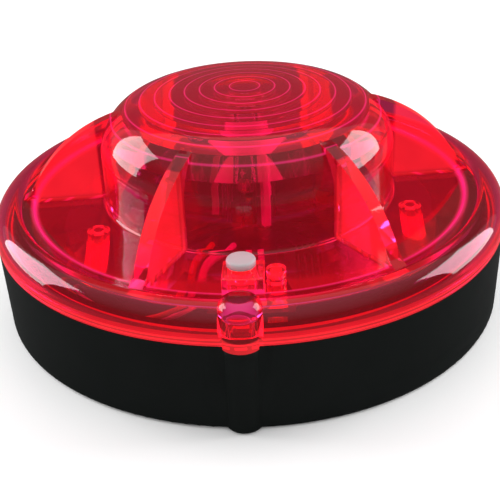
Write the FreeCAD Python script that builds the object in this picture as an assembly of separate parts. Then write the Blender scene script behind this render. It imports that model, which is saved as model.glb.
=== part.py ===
"""Round LED warning light: black base, clear red lens cover, push button and coin-turn battery door.

Millimetres, +Z up, origin on the base's axis in the plane that it stands on.
The push button is on the -Y side. Angles are counted from -Y towards +X.
"""

import FreeCAD
import Part
import math
import os

Vector = FreeCAD.Vector

# ---- overall sizes ----
BODY_RADIUS = 54.0          # widest radius, at the seam between base and cover
SEAM_Z = 18.25              # where the cover stands on the base
APEX_Z = 45.8               # top of the dome
DRAFT = 0.4                 # how much narrower the base is at its foot
FIT = 0.05                  # clearance between pieces that fit together
RUN_GAP = 0.07              # radial clearance of a moving shaft in its hole

# ---- lens cover ----
COVER_WALL = 2.0            # thickness of the clear plastic
FLOOR_Z = 23.4              # top of the recessed floor around the dome
CREST_Z = 25.0              # top of the rounded rim
RIM_RADIUS = 4.5            # outer rounding of the rim
CREST_ROUND = 1.5           # inner rounding of the crest
CREST_TURN = 150            # where that rounding meets the straight inner flank, degrees
FLOOR_RADIUS = BODY_RADIUS - 8.6     # where the rim's inner flank meets the floor
FLANGE_HEIGHT = 1.7         # thick foot of the cover, which stands on the base
FLANGE_WIDTH = 3.4
DOME_RADIUS = 30.7          # outer radius of the dome's upright wall
DOME_WALL_TOP = 33.0        # where the upright wall starts to round over
DOME_SHOULDER = 11.0        # radius of the dome's shoulder
DOME_FOOT = 0.9             # chamfer between the dome and the floor
RING_PITCH = 3.1            # lens rings moulded inside the dome
RING_STEP = 0.18
RING_COUNT = 9

# ---- ribs around the dome ----
RIB_COUNT = 6
RIB_FIRST_ANGLE = -23.2
RIB_THICKNESS = 2.8
RIB_TOP_RADIUS = 26.2       # where its top edge runs into the dome
RIB_TIP_RADIUS = BODY_RADIUS - 5.8   # its low end, in the rim's inner flank
RIB_TIP_HEIGHT = 1.8        # its top edge above the floor near the low end
RIB_TIP_SLOPE = 2.0         # length of the bevel at the low end
RIB_BULGE = 2.9             # how far its top edge bows out from a straight line

# ---- front boss and button tower ----
BOSS_RADIUS = 3.9           # half-round bead down the front
BOSS_PROUD = 1.5           # how far it stands out of the wall
BOSS_TOP = 26.8
BOSS_ROUND = 2.2            # rounding of its top edge
BOSS_SKIRT = 0.55           # how far the cover's bead hangs below the seam
BOSS_WALL = 2.0
TOWER_LEFT = 3.45           # from the button's axis to the tower's left side
TOWER_RIGHT = 4.1
TOWER_FRONT = 3.6
TOWER_BACK = 3.4
TOWER_Z = 26.4
TOWER_ROOF = 1.4
BUTTON_Y = 12.4 - BODY_RADIUS        # the button's axis
BUTTON_RADIUS = 2.65
BUTTON_HEIGHT = 1.3
BUTTON_TRAVEL = 0.45
STEM_RADIUS = 1.2
STEM_STOP = 0.6             # thickness of the collar that keeps the stem in, and its reach
STEM_LENGTH_IN_CAP = 0.5
SEAL_HEIGHT = 0.55
SEAL_WALL = 0.95            # radial thickness of the button's washer
SWITCH_WIDTH = 4.5          # tactile switch, square
SWITCH_HEIGHT = 3.2
SWITCH_GAP = 0.2            # between the switch and the tower
SWITCH_DROP = 2.1           # from the tower's ceiling to the switch
PLUNGER_RADIUS = 0.95
PLUNGER_RISE = 0.7          # how far the plunger stands out of the switch
PLUNGER_SUNK = 0.8
PLUNGER_WELL = 1.4          # depth of its hole in the switch

# ---- base ----
BASE_WALL = 2.2
FLOOR_LOW = 0.6             # underside, recessed inside the foot ring
BASE_FLOOR = 2.8            # thickness of the base's floor
FOOT_WIDTH = 3.0
FOOT_EDGE = 1.0             # rounding of the base's bottom edge
LAND_WIDTH = 3.6            # top edge of the base, which carries the cover
LIP_THICKNESS = 1.4         # upright lip inside the cover's foot
LIP_HEIGHT = 1.3
SEAL_SECTION = 0.75         # radius of the O-ring's section
SEAL_RADIUS = BODY_RADIUS - 1.9

# ---- batteries and their bay ----
CELL_RADIUS = 5.25          # AAA cell
CELL_LENGTH = 44.5
CELL_NUB_RADIUS = 1.9
CELL_NUB_LENGTH = 1.0
CELL_SPACING = 11.0
CELL_Z = 8.6
CELL_CLEARANCE = 0.45
SPRING_LENGTH = 3.4         # compressed
SPRING_WIRE = 0.5
SPRING_COILS = 3
CONTACT_THICKNESS = 0.3
BAY_WALL = 1.5
BAY_ROOF = 0.9
BACKING = 1.8               # plastic behind a positive contact
BACKING_HALF = 3.2          # its half width
TAB_HALF_HEIGHT = 1.2
TAB_REACH = 1.6             # how far the solder tabs stand out of the bay

# ---- battery door ----
DOOR_RADIUS = 29.5
DOOR_THICKNESS = 1.1
DOOR_CLEARANCE = 0.3
SKIRT_RADIUS = 25.7
SKIRT_WALL = 1.2
SKIRT_TOP = 5.0
LUG_COUNT = 3
LUG_LENGTH = 1.5            # radial
LUG_ANGLE = 24.0
LUG_THICKNESS = 1.2
LUG_GAP = 0.3               # above the ledge that it turns over
TURN_ANGLE = 35.0           # from locked to released
GASKET_THICKNESS = 0.45
COIN_SLOT = (15.0, 2.2, 1.3)
HUB_RADIUS = 10.0
HUB_TOP = 3.0

# ---- magnets ----
MAGNET_COUNT = 3
MAGNET_FIRST_ANGLE = 40.0
MAGNET_CIRCLE = 41.0
MAGNET_RADIUS = 6.0
MAGNET_THICKNESS = 3.0
MAGNET_RECESS = 0.1         # magnet face above the standing plane

# ---- case screws ----
POST_RADIUS = 2.3           # the cover's screw posts
POST_CIRCLE = 35.0
POST_ANGLES = (-58.0, 73.0, 187.0)
FRONT_POST_RADIUS = 1.8     # the fourth post stands beside the button, with a longer screw
FRONT_POST_CIRCLE = BODY_RADIUS - 14.0
FRONT_POST_ANGLE = 8.85
FRONT_POST_TOP = 25.3
FRONT_POST_FOOT = 13.5
FRONT_SCREW_BITE = 10.3
BASE_POST_RADIUS = 3.6
SCREW_RADIUS = 1.0
SCREW_HEAD_RADIUS = 2.2
SCREW_HEAD_HEIGHT = 1.5
SCREW_SINK = 0.6            # how deep the head lies under the base
SCREW_BITE = 4.5            # how far a screw enters its post
SCREW_END_ROOM = 0.6        # hole beyond the screw's tip
SCREW_POINT = 0.6           # the tip's chamfer as a share of the radius
RECESS_WIDTH = 0.6          # cross recess in the head
RECESS_LENGTH = 2.6
RECESS_DEPTH = 0.9
HEAD_CLEARANCE = 0.3

# ---- electronics ----
BOARD_RADIUS = 39.0
BOARD_THICKNESS = 1.6
BOARD_Z = 15.2              # underside of the main board
BOARD_FRONT = 25.5          # its straight front edge, from the axis
LED_COUNT = 6
LED_RADIUS = 2.5
LED_LENGTH = 8.6
LED_FLANGE = 2.9
LED_Z = 30.0                # axis of the side LEDs
LED_REACH = 15.2            # tips of the side LEDs, from the axis
LEAD_PITCH = 2.54
LEAD_SIZE = 0.5
HOLDER_RADIUS = 8.2
HOLDER_HEIGHT = 6.4
HOLDER_LEG = 1.6
REFLECTOR_HEIGHT = 6.4
HOLDER_ROOF = 1.2
HOLDER_LEG_DEPTH = 1.4
LEG_FIRST_ANGLE = 30
REFLECTOR_TOP_WALL = 0.7
LED_FLANGE_HEIGHT = 1.0
LEAD_HOLE = 0.15            # clearance round a lead in the board
WIRE_RADIUS = 0.65
SOLDER = 0.1                # how far a lead's end stands off its tab, for the solder
SWITCH_BOARD_LEFT = 6.2     # edges of the switch board, from the button's axis
SWITCH_BOARD_RIGHT = 9.4
SWITCH_BOARD_FRONT = 3.2
SWITCH_BOARD_BACK = 5.6
SWITCH_BOARD_THICKNESS = 1.2
STAKE_RADIUS = 0.7          # peg that the switch board is staked on
STAKE_LEFT = 4.9            # its place, from the button's axis
STAKE_BACK = 3.0
STAKE_BELOW = 1.5           # how far it reaches below the top of the switch board
CHIP_PLACE = (12.0, -18.55)
CHIP_SIZE = (5.0, 3.9, 1.4)
CHIP_RISE = 0.1
CHIP_PIN_COUNT = 4
CHIP_PIN_PITCH = 1.27
CHIP_PIN = (0.4, 1.0, 0.8)
RESISTOR_SIZE = (1.2, 2.0, 0.6)
RESISTOR_PLACES = ((6.6, -22.6), (6.6, -19.0), (17.4, -21.6), (20.2, -19.6), (-12.2, -22.0), (-14.8, -20.4))
CAPACITOR_PLACE = (-18.0, 3.0)
CAPACITOR_RADIUS = 3.15
CAPACITOR_HEIGHT = 7.0
CAPACITOR_ROUND = 0.5
COIL_PLACE = (18.0, 4.0)
COIL_RADIUS = 3.9           # ferrite drum
COIL_CORE = 2.6
COIL_WOUND = 3.4            # outside of the winding
COIL_HEIGHT = 4.6
COIL_FLANGE = 1.0


def polar(radius, angle, z=0.0):
    """Point at a radius and an angle from -Y towards +X."""
    turn = math.radians(angle)
    return Vector(radius * math.sin(turn), -radius * math.cos(turn), z)


def cylinder(radius, low, high, at=Vector(0, 0, 0)):
    return Part.makeCylinder(radius, high - low, Vector(at.x, at.y, low))


def ring(inner, outer, low, high):
    return cylinder(outer, low, high).cut(cylinder(inner, low - 1, high + 1))


def box(x0, x1, y0, y1, z0, z1):
    return Part.makeBox(x1 - x0, y1 - y0, z1 - z0, Vector(x0, y0, z0))


def turned(shape, angle):
    """A copy turned about the light's axis."""
    copy = shape.copy()
    copy.rotate(Vector(0, 0, 0), Vector(0, 0, 1), angle)
    return copy


def join(*shapes):
    shapes = list(shapes)
    return shapes[0].multiFuse(shapes[1:]).removeSplitter()


def point(r, z):
    return Vector(r, 0, z)


def line(a, b):
    return Part.LineSegment(a, b).toShape()


def arc(centre, radius, start, end):
    """Arc in the XZ plane, between two angles in degrees counted from +X towards +Z."""
    def on(angle):
        turn = math.radians(angle)
        return centre + Vector(radius * math.cos(turn), 0, radius * math.sin(turn))
    return Part.Arc(on(start), on((start + end) / 2), on(end)).toShape()


def spin(edges):
    """Solid of revolution of a closed outline in the XZ plane."""
    face = Part.Face(Part.Wire(Part.__sortEdges__(edges)))
    return face.revolve(Vector(0, 0, 0), Vector(0, 0, 1), 360)


def chain(points):
    return [line(a, b) for a, b in zip(points, points[1:])]


# ---- the dome's curve: an upright wall, a shoulder arc and a flatter top arc ----

def dome_top_radius():
    """Radius of the top arc, tangent to the shoulder arc and passing through the apex."""
    reach = DOME_RADIUS - DOME_SHOULDER
    rise = APEX_Z - DOME_WALL_TOP
    return (reach ** 2 + rise ** 2 - DOME_SHOULDER ** 2) / (2 * (rise - DOME_SHOULDER))


def dome_height(r, inset=0.0):
    """Height of the dome's surface, moved in by inset, at a radius."""
    top = dome_top_radius()
    centre_z = APEX_Z - top
    reach = DOME_RADIUS - DOME_SHOULDER
    meeting = reach * (top - inset) / (top - DOME_SHOULDER)
    if r <= meeting:
        return centre_z + math.sqrt((top - inset) ** 2 - r ** 2)
    return DOME_WALL_TOP + math.sqrt(max(0.0, (DOME_SHOULDER - inset) ** 2 - (r - reach) ** 2))


def dome_edges():
    """Outside of the dome, from the top of its upright wall to the apex."""
    top = dome_top_radius()
    reach = DOME_RADIUS - DOME_SHOULDER
    lean = math.degrees(math.acos(reach / (top - DOME_SHOULDER)))
    shoulder = arc(point(reach, DOME_WALL_TOP), DOME_SHOULDER, 0, lean)
    crown = arc(point(0, APEX_Z - top), top, lean, 90)
    return [shoulder, crown]


# ---- lens cover ----

def cover_outside():
    crest_r = BODY_RADIUS - RIM_RADIUS
    crest_centre = point(crest_r, CREST_Z - CREST_ROUND)
    flank = crest_centre + point(CREST_ROUND * math.cos(math.radians(CREST_TURN)),
                                 CREST_ROUND * math.sin(math.radians(CREST_TURN)))
    edges = [
        line(point(0, SEAM_Z), point(BODY_RADIUS, SEAM_Z)),
        line(point(BODY_RADIUS, SEAM_Z), point(BODY_RADIUS, CREST_Z - RIM_RADIUS)),
        arc(point(crest_r, CREST_Z - RIM_RADIUS), RIM_RADIUS, 0, 90),
        arc(crest_centre, CREST_ROUND, 90, CREST_TURN),
        line(flank, point(FLOOR_RADIUS, FLOOR_Z)),
        line(point(FLOOR_RADIUS, FLOOR_Z), point(DOME_RADIUS + DOME_FOOT, FLOOR_Z)),
        line(point(DOME_RADIUS + DOME_FOOT, FLOOR_Z), point(DOME_RADIUS, FLOOR_Z + 2 * DOME_FOOT)),
        line(point(DOME_RADIUS, FLOOR_Z + 2 * DOME_FOOT), point(DOME_RADIUS, DOME_WALL_TOP)),
    ]
    edges += dome_edges()
    edges.append(line(point(0, APEX_Z), point(0, SEAM_Z)))
    return spin(edges)


def cover_inside():
    """The space under the cover, with the lens rings stepped into the dome's ceiling."""
    wall = BODY_RADIUS - COVER_WALL
    crest_r = BODY_RADIUS - RIM_RADIUS
    inner_rim = RIM_RADIUS - COVER_WALL
    ceiling = FLOOR_Z - COVER_WALL
    flange = BODY_RADIUS - FLANGE_WIDTH
    foot = SEAM_Z + FLANGE_HEIGHT
    dome = DOME_RADIUS - COVER_WALL
    edges = chain([
        point(0, SEAM_Z - 1), point(flange, SEAM_Z - 1), point(flange, foot), point(wall, foot),
        point(wall, CREST_Z - RIM_RADIUS),
    ])
    edges.append(arc(point(crest_r, CREST_Z - RIM_RADIUS), inner_rim, 0, 90))
    steps = [point(crest_r, CREST_Z - COVER_WALL), point(FLOOR_RADIUS, ceiling), point(dome, ceiling),
             point(dome, DOME_WALL_TOP)]
    edge_radii = [RING_PITCH * k for k in range(RING_COUNT, 0, -1)]
    for r in edge_radii:
        steps.append(point(r, dome_height(r, COVER_WALL)))
        steps.append(point(r, dome_height(r, COVER_WALL) + RING_STEP))
    steps.append(point(0, APEX_Z - COVER_WALL + RING_STEP))
    steps.append(point(0, SEAM_Z - 1))
    return spin(edges + chain(steps))


def rib():
    """One rib, standing on the floor from the dome to the rim, on the +X side."""
    start = point(RIB_TIP_RADIUS - RIB_TIP_SLOPE, FLOOR_Z + RIB_TIP_HEIGHT)
    end = point(RIB_TOP_RADIUS, dome_height(RIB_TOP_RADIUS))
    along = end - start
    along.normalize()
    bowed = (start + end) * 0.5 + point(along.z, -along.x) * RIB_BULGE
    low = FLOOR_Z - COVER_WALL / 2
    edges = [Part.Arc(start, bowed, end).toShape()]
    edges += chain([end, point(RIB_TOP_RADIUS, low), point(RIB_TIP_RADIUS, low),
                    point(RIB_TIP_RADIUS, FLOOR_Z + RIB_TIP_HEIGHT / 3), start])
    face = Part.Face(Part.Wire(Part.__sortEdges__(edges)))
    face.translate(Vector(0, -RIB_THICKNESS / 2, 0))
    return face.extrude(Vector(0, RIB_THICKNESS, 0))


def boss_axis():
    return BODY_RADIUS + BOSS_PROUD - BOSS_RADIUS


def cover_posts():
    """Screw posts as (place, radius, foot, top, screw tip): three on the main board, one beside the button."""
    board_top = BOARD_Z + BOARD_THICKNESS
    posts = []
    for angle in POST_ANGLES:
        place = polar(POST_CIRCLE, angle)
        posts.append((place, POST_RADIUS, board_top, FLOOR_Z - COVER_WALL / 2, board_top + SCREW_BITE))
    front = polar(FRONT_POST_CIRCLE, FRONT_POST_ANGLE)
    posts.append((front, FRONT_POST_RADIUS, FRONT_POST_FOOT, FRONT_POST_TOP, FRONT_POST_FOOT + FRONT_SCREW_BITE))
    return posts


def bead(low, high):
    """The round bead down the front, between two heights."""
    return cylinder(BOSS_RADIUS, low, high, Vector(0, -boss_axis(), 0))


def lens_cover():
    front = Vector(0, -boss_axis(), 0)
    ribs = [turned(rib(), RIB_FIRST_ANGLE - 90 + 360 / RIB_COUNT * k) for k in range(RIB_COUNT)]
    tower = box(-TOWER_LEFT, TOWER_RIGHT, BUTTON_Y - TOWER_FRONT, BUTTON_Y + TOWER_BACK,
                FLOOR_Z - COVER_WALL, TOWER_Z)
    shell = join(cover_outside(), tower, *ribs).cut(cover_inside())
    cap = bead(SEAM_Z, BOSS_TOP)
    cap = cap.makeFillet(BOSS_ROUND, [e for e in cap.Edges if e.BoundBox.ZMin > BOSS_TOP - FIT])
    parts = [shell, cap, bead_skirt(SEAM_Z - BOSS_SKIRT)]
    for at, radius, foot, top, tip in cover_posts():
        parts.append(cylinder(radius, foot, top, at))
    parts.append(cylinder(STAKE_RADIUS, switch_low() - STAKE_BELOW, FLOOR_Z - COVER_WALL / 2, stake_place()))
    hole = cylinder(STEM_RADIUS + RUN_GAP, FLOOR_Z, TOWER_Z + 1, Vector(0, BUTTON_Y, 0))
    solid = join(*parts).cut(join(tower_hollow(), hole))
    # the bead is hollow up to the rim's ceiling, and open to the inside
    groove = BOSS_RADIUS - BOSS_WALL
    foot = SEAM_Z + FLANGE_HEIGHT
    ceiling = CREST_Z - COVER_WALL
    solid = solid.cut(join(cylinder(groove, foot, ceiling, front),
                           box(-groove, groove, front.y, front.y + BOSS_RADIUS, foot, ceiling)))
    for at, radius, foot, top, tip in cover_posts():
        solid = solid.cut(cylinder(SCREW_RADIUS + FIT, foot - 1, tip + SCREW_END_ROOM, at))
    return solid


def bead_skirt(low):
    """The part of the cover's bead that hangs below the seam, outside the O-ring."""
    return cylinder(BOSS_RADIUS, low, SEAM_Z, Vector(0, -boss_axis(), 0)).cut(
        cylinder(SEAL_RADIUS + SEAL_SECTION + HEAD_CLEARANCE, 0, APEX_Z))


def tower_hollow():
    """Room for the switch inside the button tower."""
    half = SWITCH_WIDTH / 2 + SWITCH_GAP
    return box(-half, half, BUTTON_Y - half, BUTTON_Y + half, SEAM_Z, TOWER_Z - TOWER_ROOF)


# ---- base ----

def bay_half_length():
    return (CELL_LENGTH + SPRING_LENGTH + CONTACT_THICKNESS * 2 + BACKING) / 2 + FIT


def bay_half_width():
    return CELL_SPACING / 2 + CELL_RADIUS + CELL_CLEARANCE


def floor_top():
    return FLOOR_LOW + BASE_FLOOR


def seat_z():
    """Underside of the ledge that the door's gasket closes against."""
    return FLOOR_LOW + DOOR_THICKNESS + GASKET_THICKNESS + FIT


def lug_low():
    return floor_top() + LUG_GAP


def ledge_radius():
    return SKIRT_RADIUS + DOOR_CLEARANCE


def lug_room():
    return SKIRT_RADIUS + LUG_LENGTH + DOOR_CLEARANCE


def sector(radius, low, high, middle, spread):
    """A wedge of a disc, spread degrees wide about an angle from -Y."""
    wedge = Part.makeCylinder(radius, high - low, Vector(0, 0, low), Vector(0, 0, 1), spread)
    return turned(wedge, middle - 90 - spread / 2)


def base_shell():
    low_r = BODY_RADIUS - DRAFT
    foot_in = low_r - FOOT_EDGE - FOOT_WIDTH
    inner = BODY_RADIUS - BASE_WALL
    land_in = BODY_RADIUS - LAND_WIDTH
    lip_in = land_in - LIP_THICKNESS
    lip_top = SEAM_Z + LIP_HEIGHT
    land_low = SEAM_Z - LAND_WIDTH
    edges = [arc(point(low_r - FOOT_EDGE, FOOT_EDGE), FOOT_EDGE, -90, 0)]
    edges += chain([
        point(low_r, FOOT_EDGE), point(BODY_RADIUS, SEAM_Z), point(land_in, SEAM_Z), point(land_in, lip_top),
        point(lip_in, lip_top), point(lip_in, land_low + 1), point(inner - DRAFT, land_low - 1),
        point(inner - DRAFT, floor_top()), point(0, floor_top()), point(0, FLOOR_LOW),
        point(foot_in - FLOOR_LOW, FLOOR_LOW), point(foot_in, 0), point(low_r - FOOT_EDGE, 0),
    ])
    return spin(edges)


def base_housing():
    front = Vector(0, -boss_axis(), 0)
    skirt = SEAM_Z - BOSS_SKIRT
    bead_low = Part.makeCone(BOSS_RADIUS - DRAFT / 2, BOSS_RADIUS, skirt, front)
    bead_low = bead_low.makeFillet(FOOT_EDGE, [e for e in bead_low.Edges if e.BoundBox.ZMax < FIT])
    long_half = bay_half_length()
    wide_half = bay_half_width()
    roof = BOARD_Z - 0.2
    collar = cylinder(lug_room() + BAY_WALL, FLOOR_LOW + 1, SKIRT_TOP + 2.2)
    bay = box(-long_half - BAY_WALL, long_half + BAY_WALL, -wide_half - BAY_WALL, wide_half + BAY_WALL,
              FLOOR_LOW + 1, roof)
    parts = [base_shell(), bead_low, collar, bay]
    for at, radius, foot, top, tip in cover_posts():
        parts.append(cylinder(BASE_POST_RADIUS, FLOOR_LOW + 1, min(BOARD_Z, foot), at))
    for at in magnet_places():
        parts.append(cylinder(MAGNET_RADIUS + BAY_WALL, FLOOR_LOW + 1,
                              MAGNET_RECESS + MAGNET_THICKNESS + BAY_WALL, at))
    solid = join(*parts)
    # the cover's bead passes the lip and hangs into the outer edge of the base
    solid = solid.cut(cylinder(BOSS_RADIUS + FIT, SEAM_Z, SEAM_Z + LIP_HEIGHT + 1, front))
    solid = solid.cut(bead_skirt(skirt))
    solid = solid.cut(seal_ring(SEAL_SECTION + FIT))
    # battery bay and the seat, mouth and turning room of its door
    solid = solid.cut(cylinder(DOOR_RADIUS + DOOR_CLEARANCE, -1, seat_z()))
    solid = solid.cut(cylinder(ledge_radius(), -1, floor_top()))
    solid = solid.cut(cylinder(lug_room(), floor_top(), SKIRT_TOP + LUG_GAP))
    for k in range(LUG_COUNT):
        middle = 360 / LUG_COUNT * k - TURN_ANGLE
        solid = solid.cut(sector(lug_room(), -1, floor_top() + 0.1, middle, LUG_ANGLE + 4))
    solid = solid.cut(box(-long_half, long_half, -wide_half, wide_half, floor_top(), roof - BAY_ROOF))
    # the gussets that back the contacts of the two positive ends
    back = box(long_half - BACKING + FIT, long_half + BAY_WALL / 2, -CELL_SPACING / 2 - BACKING_HALF,
               -CELL_SPACING / 2 + BACKING_HALF, SKIRT_TOP + LUG_GAP, roof - BAY_ROOF / 2)
    solid = join(solid, back, turned(back, 180))
    for at in magnet_places():
        solid = solid.cut(cylinder(MAGNET_RADIUS + FIT, -1, MAGNET_RECESS + MAGNET_THICKNESS, at))
    for at, radius, foot, top, tip in cover_posts():
        solid = solid.cut(cylinder(SCREW_RADIUS + HEAD_CLEARANCE, -1, foot + 1, at))
        solid = solid.cut(cylinder(SCREW_HEAD_RADIUS + HEAD_CLEARANCE, -1, head_seat(), at))
    # slots for the two solder tabs
    for y in (-tab_y(), tab_y()):
        slot = box(-long_half - BAY_WALL - 1, -long_half + 0.1, y - CONTACT_THICKNESS, y + CONTACT_THICKNESS,
                   CELL_Z - TAB_HALF_HEIGHT - FIT, CELL_Z + TAB_HALF_HEIGHT + FIT)
        solid = solid.cut(slot)
    return solid.removeSplitter()


def tab_y():
    """Middle of a solder tab, beside the backing of the positive contact."""
    return CELL_SPACING / 2 - BACKING_HALF - CONTACT_THICKNESS / 2 - FIT


def head_seat():
    return FLOOR_LOW + SCREW_HEAD_HEIGHT + SCREW_SINK


def seal_ring(section):
    ring_face = Part.makeTorus(SEAL_RADIUS, section)
    ring_face.translate(Vector(0, 0, SEAM_Z - SEAL_SECTION))
    return ring_face


def magnet_places():
    return [polar(MAGNET_CIRCLE, MAGNET_FIRST_ANGLE + 360 / MAGNET_COUNT * k) for k in range(MAGNET_COUNT)]


def magnets():
    top = MAGNET_RECESS + MAGNET_THICKNESS
    return [cylinder(MAGNET_RADIUS, MAGNET_RECESS, top, at) for at in magnet_places()]


def case_screws():
    """Pan-head self-tapping screws, with a cross recess, up through the base's posts."""
    screws = []
    seat = head_seat()
    low = seat - SCREW_HEAD_HEIGHT
    for at, radius, foot, top, tip in cover_posts():
        head = cylinder(SCREW_HEAD_RADIUS, low, seat, at)
        head = head.makeFillet(SCREW_HEAD_HEIGHT / 3, [e for e in head.Edges if e.BoundBox.ZMax < low + FIT])
        shank = cylinder(SCREW_RADIUS, low, tip, at)
        tip_edges = [e for e in shank.Edges if e.BoundBox.ZMin > tip - FIT]
        shank = shank.makeChamfer(SCREW_RADIUS * SCREW_POINT, tip_edges)
        screw = join(head, shank)
        for across, deep in ((RECESS_WIDTH / 2, RECESS_LENGTH / 2), (RECESS_LENGTH / 2, RECESS_WIDTH / 2)):
            screw = screw.cut(box(at.x - across, at.x + across, at.y - deep, at.y + deep,
                                  low - 1, low + RECESS_DEPTH))
        screws.append(screw)
    return screws


# ---- battery door, which turns by TURN_ANGLE to let its lugs out ----

def battery_door():
    plate = cylinder(DOOR_RADIUS, FLOOR_LOW, FLOOR_LOW + DOOR_THICKNESS)
    plate = plate.makeChamfer(0.4, [e for e in plate.Edges if e.BoundBox.ZMax < FLOOR_LOW + 0.01])
    skirt = ring(SKIRT_RADIUS - SKIRT_WALL, SKIRT_RADIUS, FLOOR_LOW + DOOR_THICKNESS, SKIRT_TOP)
    hub = cylinder(HUB_RADIUS, FLOOR_LOW, HUB_TOP)
    parts = [plate, skirt, hub]
    for k in range(LUG_COUNT):
        wedge = sector(SKIRT_RADIUS + LUG_LENGTH, lug_low(), lug_low() + LUG_THICKNESS,
                       360 / LUG_COUNT * k, LUG_ANGLE)
        parts.append(wedge.cut(cylinder(SKIRT_RADIUS - SKIRT_WALL / 2, 0, BOARD_Z)))
    door = join(*parts)
    length, width, depth = COIN_SLOT
    slot = box(-length / 2, length / 2, -width / 2, width / 2, FLOOR_LOW - 1, FLOOR_LOW + depth)
    return door.cut(slot)


def door_gasket():
    low = FLOOR_LOW + DOOR_THICKNESS
    return ring(lug_room() + DOOR_CLEARANCE, DOOR_RADIUS - DOOR_CLEARANCE, low, low + GASKET_THICKNESS)


# ---- cells and contacts; the two cells lie opposite ways, in series ----

def stations():
    """Along X, from the spring's end: plate, plate face, cell, nub end, positive plate's back."""
    plate = -bay_half_length() + FIT
    face = plate + CONTACT_THICKNESS
    start = face + SPRING_LENGTH
    end = start + CELL_LENGTH
    return plate, face, start, end, end + CONTACT_THICKNESS


def front_cell():
    """An AAA cell along X, nub towards +X, in the front place."""
    start, end = stations()[2:4]
    along = Vector(1, 0, 0)
    body = Part.makeCylinder(CELL_RADIUS, CELL_LENGTH - CELL_NUB_LENGTH, Vector(start, 0, 0), along)
    body = body.makeFillet(0.5, [e for e in body.Edges if e.BoundBox.XLength < 0.01])
    nub = Part.makeCylinder(CELL_NUB_RADIUS, CELL_NUB_LENGTH + 1, Vector(end - CELL_NUB_LENGTH - 1, 0, 0), along)
    shape = join(body, nub)
    shape.translate(Vector(0, -CELL_SPACING / 2, CELL_Z))
    return shape


def front_spring():
    """Conical spring behind the front cell, squeezed to its working length."""
    coil_height = SPRING_LENGTH - SPRING_WIRE
    pitch = coil_height / SPRING_COILS
    radius = CELL_RADIUS * 0.5
    helix = Part.makeHelix(pitch, coil_height, radius, -12)
    section = Part.Wire([Part.makeCircle(SPRING_WIRE / 2, Vector(radius, 0, 0), Vector(0, 1, 0))])
    shape = Part.Wire(helix.Edges).makePipeShell([section], True, True)
    shape.rotate(Vector(0, 0, 0), Vector(0, 1, 0), 90)
    shape.translate(Vector(stations()[1] + SPRING_WIRE / 2, -CELL_SPACING / 2, CELL_Z))
    return shape


def sheet(x0, x1, y0, y1, half_height=3.0):
    return box(min(x0, x1), max(x0, x1), min(y0, y1), max(y0, y1), CELL_Z - half_height, CELL_Z + half_height)


def negative_contact():
    """Sheet at the spring end of the front cell, with its tab through the bay wall."""
    plate, face = stations()[:2]
    half = CONTACT_THICKNESS / 2
    out = -bay_half_length() - BAY_WALL - TAB_REACH
    flat = sheet(plate, face, -CELL_SPACING / 2 - BACKING_HALF, -tab_y() + half)
    tab = sheet(out, face, -tab_y() - half, -tab_y() + half, TAB_HALF_HEIGHT)
    return join(flat, tab)


def positive_contact():
    """Sheet at the nub of the rear cell, with its tab through the bay wall."""
    end, back = stations()[3:]
    half = CONTACT_THICKNESS / 2
    out = -bay_half_length() - BAY_WALL - TAB_REACH
    flat = sheet(-back, -end, tab_y() - half, CELL_SPACING / 2 + BACKING_HALF)
    tab = sheet(out, -end, tab_y() - half, tab_y() + half, TAB_HALF_HEIGHT)
    return join(flat, tab)


def bridge_contact():
    """One folded sheet that joins the front cell's nub to the rear cell's spring."""
    plate, face = stations()[:2]
    end, back = stations()[3:]
    half = CONTACT_THICKNESS / 2
    nub_side = sheet(end, back, -CELL_SPACING / 2 - BACKING_HALF, -tab_y() + half)
    fold = sheet(end, -plate, -tab_y() - half, -tab_y() + half)
    spring_side = sheet(-face, -plate, -tab_y() - half, CELL_SPACING / 2 + BACKING_HALF)
    return join(nub_side, fold, spring_side)


# ---- electronics ----

def board_top():
    return BOARD_Z + BOARD_THICKNESS


def main_board():
    disc = cylinder(BOARD_RADIUS, BOARD_Z, board_top())
    disc = disc.cut(box(-BODY_RADIUS, BODY_RADIUS, -BODY_RADIUS, -BOARD_FRONT, 0, APEX_Z))
    for at, radius, foot, top, tip in cover_posts()[:3]:
        disc = disc.cut(cylinder(SCREW_RADIUS + HEAD_CLEARANCE, 0, APEX_Z, at))
    for x, y in lead_places() + [(-LEAD_PITCH / 2, 0), (LEAD_PITCH / 2, 0)]:
        disc = disc.cut(cylinder(LEAD_SIZE / 2 + LEAD_HOLE, 0, APEX_Z, Vector(x, y, 0)))
    return disc


def led_angles():
    return [360 / LED_COUNT * k for k in range(LED_COUNT)]


def led_base():
    """Radius at which a side LED's flat back stands."""
    return LED_REACH - LED_LENGTH


def lead_places():
    """Where the side LEDs' leads stand on the board."""
    places = []
    r = led_base() - LEAD_SIZE * 2
    for a in led_angles():
        middle = polar(r, a)
        across = polar(1, a + 90)
        for side in (-LEAD_PITCH / 2, LEAD_PITCH / 2):
            at = middle + across * side
            places.append((at.x, at.y))
    return places


def led_body():
    """A 5 mm LED standing on its flat back at the origin, pointing up."""
    flange = Part.makeCylinder(LED_FLANGE, LED_FLANGE_HEIGHT)
    body = Part.makeCylinder(LED_RADIUS, LED_LENGTH - LED_RADIUS)
    tip = Part.makeSphere(LED_RADIUS, Vector(0, 0, LED_LENGTH - LED_RADIUS))
    return join(flange, body, tip)


def side_leds():
    leds = []
    for a in led_angles():
        led = led_body()
        led.rotate(Vector(0, 0, 0), Vector(1, 0, 0), 90)
        led.translate(Vector(0, -led_base(), LED_Z))
        leds.append(turned(led, a))
    return leds


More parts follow.
